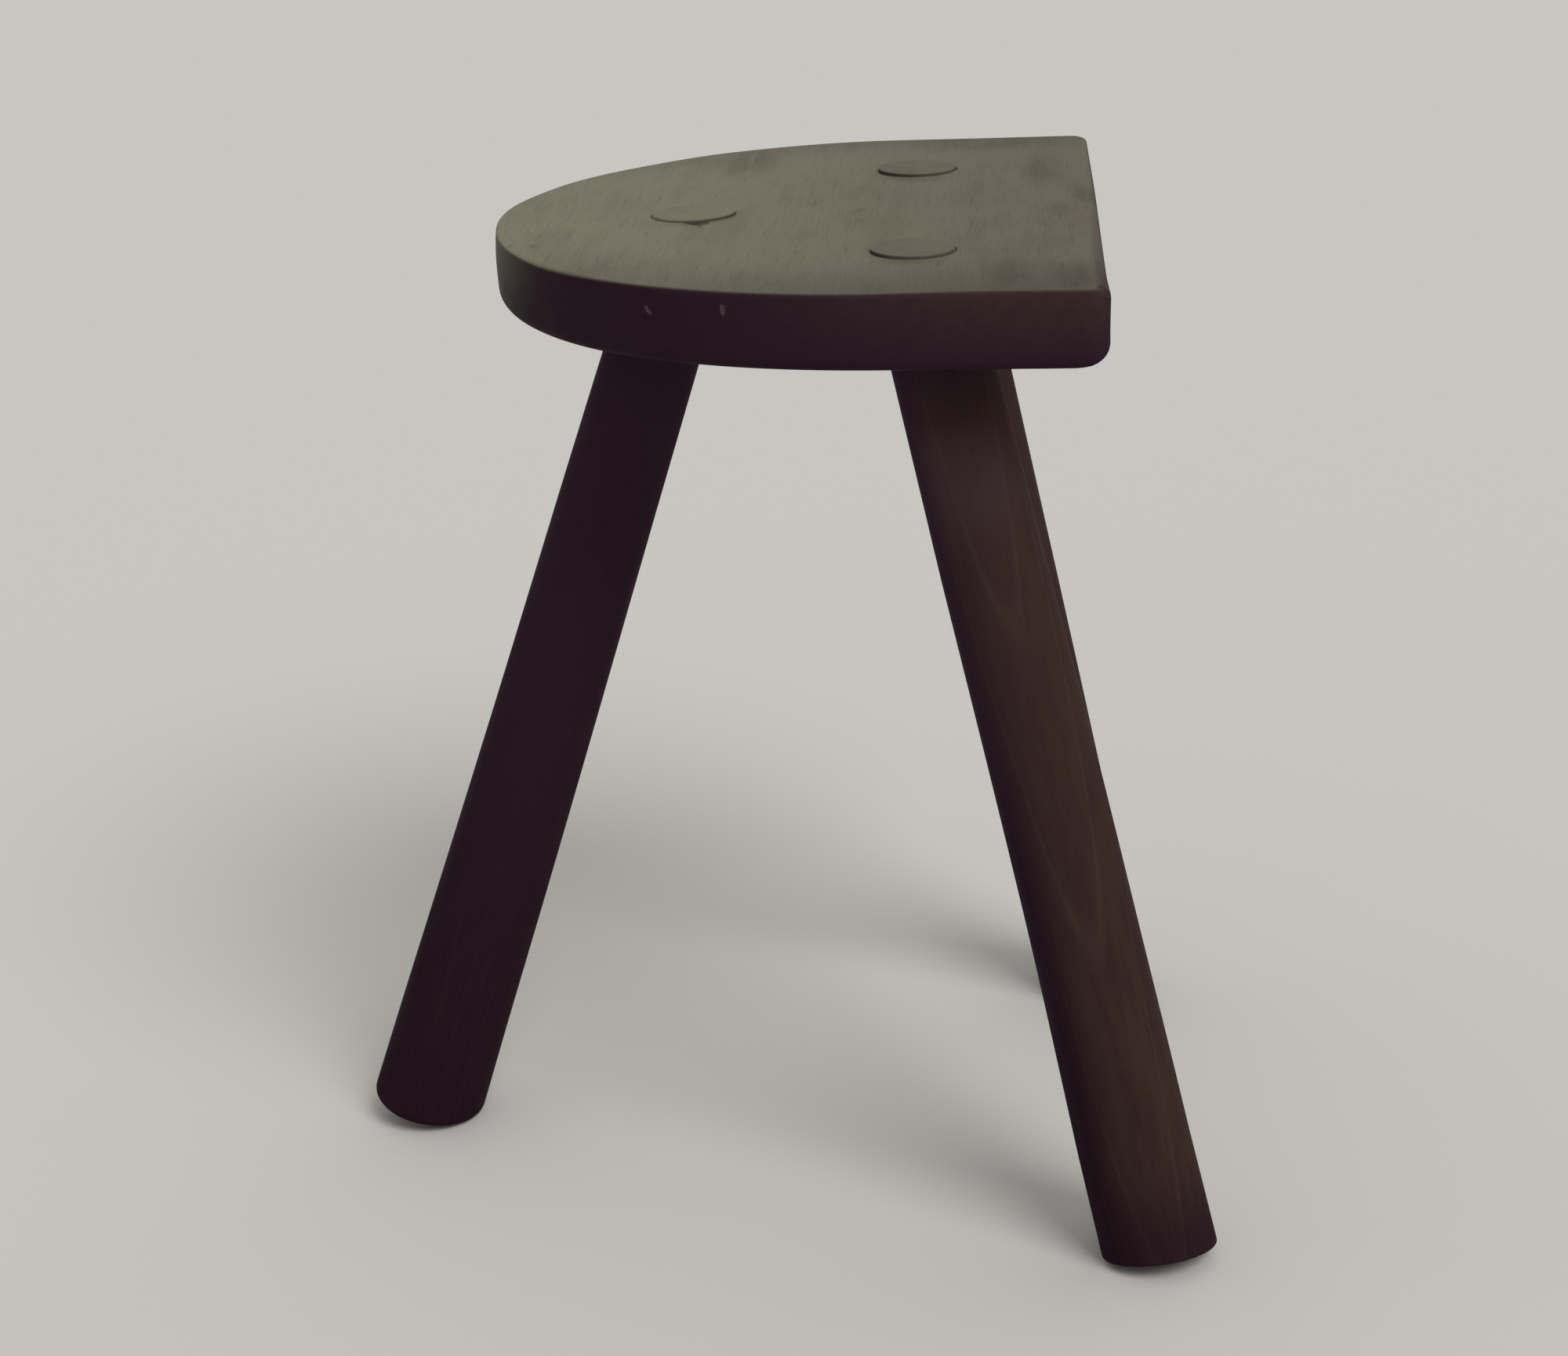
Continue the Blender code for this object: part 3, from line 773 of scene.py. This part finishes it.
# Stand it in its place, rub the sole level with the floor, and trim the tenon almost level with the seat
lean = add_node(leg_tree, "FunctionNodeAlignRotationToVector", {"Vector": leg_axis}, axis="Z")
leaned = add_node(leg_tree, "FunctionNodeRotateVector", {0: shaped, 1: lean.outputs[0]}).outputs[0]
standing = vector_reckon(leg_tree, "ADD", vector_reckon(leg_tree, "ADD", leaned, aside)[0], leg_in["Foot"])[0]
height = parts_of(leg_tree, standing)[2]
rubbed = reckon(leg_tree, "SMOOTH_MAX", height, 0.0, 0.0006)
from_centre = reckon(leg_tree, "DIVIDE", radius, leg_in["Tenon Radius"])
dome = reckon(leg_tree, "MULTIPLY", leg_in["Top Dome"],
              reckon(leg_tree, "SUBTRACT", 1.0, reckon(leg_tree, "MULTIPLY", from_centre, from_centre)))
into_rim = reckon(leg_tree, "DIVIDE", reckon(leg_tree, "SUBTRACT", leg_in["Tenon Radius"], radius),
                  leg_in["Top Rim Radius"])
rim_share = reckon(leg_tree, "SUBTRACT", 1.0, reckon(leg_tree, "MINIMUM",
                                                     reckon(leg_tree, "MAXIMUM", into_rim, 0.0), 1.0))
rim_arc = reckon(leg_tree, "SQRT", reckon(leg_tree, "SUBTRACT", 1.0,
                                          reckon(leg_tree, "MULTIPLY", rim_share, rim_share)))
rim_drop = reckon(leg_tree, "MULTIPLY", leg_in["Top Rim Radius"], reckon(leg_tree, "SUBTRACT", 1.0, rim_arc))
top_slope = vector_reckon(leg_tree, "DOT_PRODUCT", turned, leg_in["Top Slope"])["Value"]
sawn_top = reckon(leg_tree, "ADD", leg_in["Top Height"], top_slope)
top_skin = reckon(leg_tree, "ADD", sawn_top, reckon(leg_tree, "SUBTRACT", dome, rim_drop))
trimmed = reckon(leg_tree, "MINIMUM", rubbed, top_skin)
slide = reckon(leg_tree, "DIVIDE", reckon(leg_tree, "SUBTRACT", trimmed, height), axis_rise)
slid = add_node(leg_tree, "ShaderNodeVectorMath", {0: leg_axis}, operation="SCALE")
leg_tree.links.new(slide, slid.inputs["Scale"])
final_place = vector_reckon(leg_tree, "ADD", standing, slid.outputs[0])[0]

# What the wood's finish needs to know: the place in the stick's own grain, where hands and feet have rubbed the
# stain brown, with painted light mixed in, how thin it was laid on towards the seat, with painted light there too,
# a band of painted light below the seat, and the tenon's pale top, partly painted sheen, with painted shade on its side
sloped = vector_reckon(leg_tree, "MULTIPLY", leg_in["Grain Slope"], vector_of(leg_tree, distance, distance, 0.0))[0]
seeded = vector_of(leg_tree, 0.0, 0.0, leg_in["Seed"])
in_grain = vector_reckon(leg_tree, "ADD", vector_reckon(leg_tree, "ADD", turned, leg_in["Pith"])[0],
                         vector_reckon(leg_tree, "ADD", sloped, seeded)[0])[0]
from_top = reckon(leg_tree, "SUBTRACT", trimmed, sawn_top)
# The tenon's top takes the pale top colour, partly painted sheen; its proud side keeps less of it, painted shade for
# the dark crescent along its near rim
top_tone_and_wall_shade = reckon(leg_tree, "MULTIPLY", between(leg_tree, from_top, -0.0006, -0.0001, 0.42, 1.0),
                  between(leg_tree, from_top, -0.012, -0.004))
on_top = reckon(leg_tree, "MULTIPLY", leg_in["Top Tone"], top_tone_and_wall_shade)
# A paler band in bare wood colour on the front of the leg, about 30 to 90 mm below the seat: painted light against the
# seat's shade
lit_band_start = between(leg_tree, distance, reckon(leg_tree, "SUBTRACT", shoulder_along, 0.090),
                     reckon(leg_tree, "SUBTRACT", shoulder_along, 0.056))
lit_band_end = between(leg_tree, distance, reckon(leg_tree, "SUBTRACT", shoulder_along, 0.044),
                   reckon(leg_tree, "SUBTRACT", shoulder_along, 0.030), 0.34, 0.0)
lit_band_side = reckon(leg_tree, "MULTIPLY", between(leg_tree, round_y, -0.85, -0.35, 1.0, 0.0), leg_in["Rubbed"])
painted_lit_band = reckon(leg_tree, "MULTIPLY", reckon(leg_tree, "MULTIPLY", lit_band_start, lit_band_end), lit_band_side)
# The rubbed brown is partly rubbed stain and partly painted light: lighter on the side towards the lamp, and on the
# back; darker right under the seat and near the foot
facing = vector_reckon(leg_tree, "DOT_PRODUCT", vector_of(leg_tree, round_x, round_y, 0.0), leg_in["Rubbed And Lit Side"])
rub_patch = between(leg_tree, shaving.outputs["Fac"], 0.3, 0.7, 0.82, 1.12)
rub_height = between(leg_tree, distance, reckon(leg_tree, "SUBTRACT", shoulder_along, 0.034),
                     reckon(leg_tree, "SUBTRACT", shoulder_along, 0.004), 1.0, 0.1)
rub_foot = between(leg_tree, distance, 0.008, 0.052, 0.22, 1.0)
rub_edge = between(leg_tree, distance, 0.10, 0.32, 0.05, -0.20)
rub_and_light_side = between(leg_tree, facing["Value"], rub_edge, reckon(leg_tree, "ADD", rub_edge, 0.80))
rub_back = between(leg_tree, round_y, 0.2, 0.8, 0.0, 0.5)
rub_round = reckon(leg_tree, "MAXIMUM", reckon(leg_tree, "MULTIPLY", rub_and_light_side, leg_in["Rubbed"]), rub_back)
rub_along = reckon(leg_tree, "MULTIPLY", rub_height, rub_foot)
rub_and_light_here = reckon(leg_tree, "MULTIPLY", reckon(leg_tree, "MULTIPLY", rub_round, rub_along), rub_patch)
# Lighter towards the seat: partly thinner stain, partly painted light against the seat's shade
thin_and_lit_here = between(leg_tree, distance, 0.02, shoulder_along)
with_grain = add_node(leg_tree, "GeometryNodeStoreNamedAttribute",
                      {"Geometry": tube.outputs[0], "Name": "in_grain", "Value": in_grain},
                      data_type="FLOAT_VECTOR", domain="POINT")
with_top = add_node(leg_tree, "GeometryNodeStoreNamedAttribute",
                    {"Geometry": with_grain.outputs[0], "Name": "sat_on_and_sheen", "Value": on_top},
                    data_type="FLOAT", domain="POINT")
with_rub = add_node(leg_tree, "GeometryNodeStoreNamedAttribute",
                    {"Geometry": with_top.outputs[0], "Name": "rubbed", "Value": rub_and_light_here},
                    data_type="FLOAT", domain="POINT")
with_thin = add_node(leg_tree, "GeometryNodeStoreNamedAttribute",
                     {"Geometry": with_rub.outputs[0], "Name": "thin_and_lit", "Value": thin_and_lit_here},
                     data_type="FLOAT", domain="POINT")
with_grip = add_node(leg_tree, "GeometryNodeStoreNamedAttribute",
                     {"Geometry": with_thin.outputs[0], "Name": "bare_and_painted_light", "Value": painted_lit_band},
                     data_type="FLOAT", domain="POINT")
placed = add_node(leg_tree, "GeometryNodeSetPosition", {"Geometry": with_grip.outputs[0], "Position": final_place})
smooth = add_node(leg_tree, "GeometryNodeSetShadeSmooth", {"Geometry": placed.outputs[0]})
real = add_node(leg_tree, "GeometryNodeRealizeInstances", {"Geometry": smooth.outputs[0]})
stained = add_node(leg_tree, "GeometryNodeSetMaterial", {"Geometry": real.outputs[0], "Material": leg_in["Wood"]})
leg_tree.links.new(stained.outputs[0], leg_out[0])


def leg_place(tree):
    return add_node(tree, "ShaderNodeAttribute", attribute_name="in_grain").outputs["Vector"]


def leg_pith(tree, place):
    return place


leg_wood = stained_wood(
    "leg_wood", leg_place, leg_pith,
    dark=(0.0184, 0.0072, 0.0139, 1.0), red=(0.028, 0.0124, 0.0176, 1.0), thin_and_lit_stain=(0.0375, 0.0172, 0.0312, 1.0),
    rubbed_stain=(0.048, 0.0275, 0.0218, 1.0), ring_line=(0.072, 0.046, 0.036, 1.0), ring_width=0.0060,
    ring_softness=0.20, ring_strength=0.38, wander=0.0012, patch_size=0.022, shine=0.012, **pale_top_colours)

# Per leg, Rubbed sets the brown, partly painted light, strong on the front and back legs and slight on the nose leg
# under the seat; Top Tone is the tenon top's pale colour, partly painted sheen
leg_shapes = {
    "nose_leg": {"Foot Radius": 0.0247, "Sole Cut": 0.0051, "Rim Radius": 0.0048,
                 "Top Height": board_high.z + 0.0009, "Top Dome": 0.0002, "Top Slope": (0.010, 0.0, 0.0),
                 "Top Tone": 0.93, "Sole Slant": (0.10, 0.02, 0.0), "Bow": (0.0003, 0.0, 0.0), "Waist": 0.0, "Seed": 3.1,
                 "Pith": (0.030, 0.045, 0.0), "Grain Slope": (-0.02, 0.03, 0.0),
                 "Rubbed": 0.05, "Rubbed And Lit Side": (0.4, -0.9, 0.0)},
    "front_leg": {"Foot Radius": 0.0234, "Sole Cut": 0.0021, "Rim Radius": 0.0016,
                  "Top Height": board_high.z + 0.0012, "Top Dome": 0.0004, "Top Slope": (-0.004, 0.0, 0.0),
                  "Top Tone": 0.665, "Sole Slant": (-0.074, -0.18, 0.0), "Bow": (0.0009, 0.0, 0.0), "Waist": 0.0004, "Seed": 7.7,
                  "Pith": (0.021, -0.1162, 0.0), "Grain Slope": (0.009, -0.052, 0.0),
                  "Rubbed": 0.82, "Rubbed And Lit Side": (0.6, -0.8, 0.0)},
    "back_leg": {"Foot Radius": 0.0230, "Sole Cut": 0.0039, "Rim Radius": 0.0025,
                 "Top Height": board_high.z + 0.0012, "Top Dome": 0.0002, "Top Slope": (-0.014, 0.0, 0.0),
                 "Top Tone": 0.675, "Sole Slant": (0.0, 0.0, 0.0), "Bow": (0.0002, 0.0, 0.0), "Waist": 0.0002, "Seed": 12.4,
                 "Pith": (0.025, -0.140, 0.0), "Grain Slope": (0.03, 0.02, 0.0),
                 "Rubbed": 0.80, "Rubbed And Lit Side": (0.8, -0.5, 0.0)},
}
for leg_name, shape in leg_shapes.items():
    plan = drilling_plan[leg_name]
    stick = bpy.data.objects.new(leg_name + "_stick", bpy.data.meshes.new(leg_name + "_stick"))
    bpy.context.scene.collection.objects.link(stick)
    turning = stick.modifiers.new("turning", "NODES")
    turning.node_group = leg_tree
    sizes = {"Foot": plan["foot"], "Head": plan["head"], "Shoulder Radius": plan["shoulder_radius"],
             "Tenon Radius": plan["tenon_radius"], "Tenon Shift": plan["tenon_shift"],
             "Shoulder Height": board_low.z, "Top Rim Radius": 0.0003, "Unevenness": 0.0004, "Wood": leg_wood, **shape}
    for size_name, value in sizes.items():
        turning[leg_sockets[size_name]] = value
    bpy.context.view_layer.update()
    turned_stick = stick.evaluated_get(bpy.context.evaluated_depsgraph_get())
    stick_mesh = bpy.data.meshes.new_from_object(turned_stick)
    stick.modifiers.clear()
    stick.data = stick_mesh
    stick_mesh.set_sharp_from_angle(angle=math.radians(40))
    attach(stick, "root")
    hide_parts(leg_name)


# The floor it stands on for its picture: a wide pale disc
floor_builder = bmesh.new()
bmesh.ops.create_circle(floor_builder, cap_ends=True, segments=96, radius=14.0)
floor_mesh = bpy.data.meshes.new("floor")
floor_builder.to_mesh(floor_mesh)
floor_builder.free()
floor = bpy.data.objects.new("floor", floor_mesh)
bpy.context.scene.collection.objects.link(floor)
floor_paint = bpy.data.materials.new("floor_paint")
floor_paint.use_nodes = True
floor_shader = floor_paint.node_tree.nodes["Principled BSDF"]
floor_shader.inputs["Base Color"].default_value = (0.66, 0.65, 0.62, 1.0)
floor_shader.inputs["Roughness"].default_value = 0.8
floor_shader.inputs["Specular IOR Level"].default_value = 0.1
floor_mesh.materials.append(floor_paint)


# Light: a plain soft studio, with a pale surround that the wax mirrors, and a large soft lamp above on the right
world = bpy.data.worlds.new("studio")
bpy.context.scene.world = world
world.use_nodes = True
sky = world.node_tree
sky.nodes.clear()
ray = add_node(sky, "ShaderNodeLightPath").outputs
seen_ray = reckon(sky, "MAXIMUM", ray["Is Camera Ray"], reckon(sky, "MAXIMUM", ray["Is Glossy Ray"],
                                                              ray["Is Transmission Ray"]))
ray_way = add_node(sky, "ShaderNodeTexCoord").outputs["Generated"]
backward = between(sky, add_node(sky, "ShaderNodeSeparateXYZ", {0: ray_way}).outputs[1], -0.5, 0.6)
soft_light = mix_colour(sky, backward, (0.43, 0.425, 0.415, 1.0), (0.62, 0.615, 0.60, 1.0))
ambient = add_node(sky, "ShaderNodeBackground", {"Color": soft_light, "Strength": 1.0})
wall_tone = mix_colour(sky, backward, (0.40, 0.39, 0.365, 1.0), (0.60, 0.595, 0.54, 1.0))
surround = add_node(sky, "ShaderNodeBackground", {"Color": wall_tone, "Strength": 1.0})
either = add_node(sky, "ShaderNodeMixShader", {0: seen_ray, 1: ambient.outputs[0], 2: surround.outputs[0]})
world_output = add_node(sky, "ShaderNodeOutputWorld", {0: either.outputs[0]})


def distant_lamp(name, way, strength, softness_degrees):
    """A broad lamp far off, shining the same way and just as strongly everywhere."""
    lamp = bpy.data.lights.new(name, "SUN")
    lamp.energy = strength
    lamp.angle = math.radians(softness_degrees)
    holder = bpy.data.objects.new(name, lamp)
    holder.rotation_euler = Vector(way).to_track_quat("-Z", "Y").to_euler()
    bpy.context.scene.collection.objects.link(holder)
    return holder


distant_lamp("lamp_above_right", (-0.75, 0.90, -1.30), 1.5, 30.0)
bpy.context.scene.view_settings.view_transform = "Standard"


# The camera, where the photographer stood: a little above the seat, looking down, with the picture slightly rolled
camera_data = bpy.data.cameras.new("camera")
camera_data.sensor_fit = "HORIZONTAL"
camera_data.sensor_width = 36.0
camera_data.lens = 66.6
camera = bpy.data.objects.new("camera", camera_data)
camera_turn = (Matrix.Rotation(math.radians(4.9561), 4, "Z") @ Matrix.Rotation(math.radians(90 - 20.5425), 4, "X")
               @ Matrix.Rotation(math.radians(-2.61), 4, "Z"))
camera.matrix_world = Matrix.Translation((0.10817, -1.14700, 0.63791)) @ camera_turn
bpy.context.scene.collection.objects.link(camera)
bpy.context.scene.camera = camera
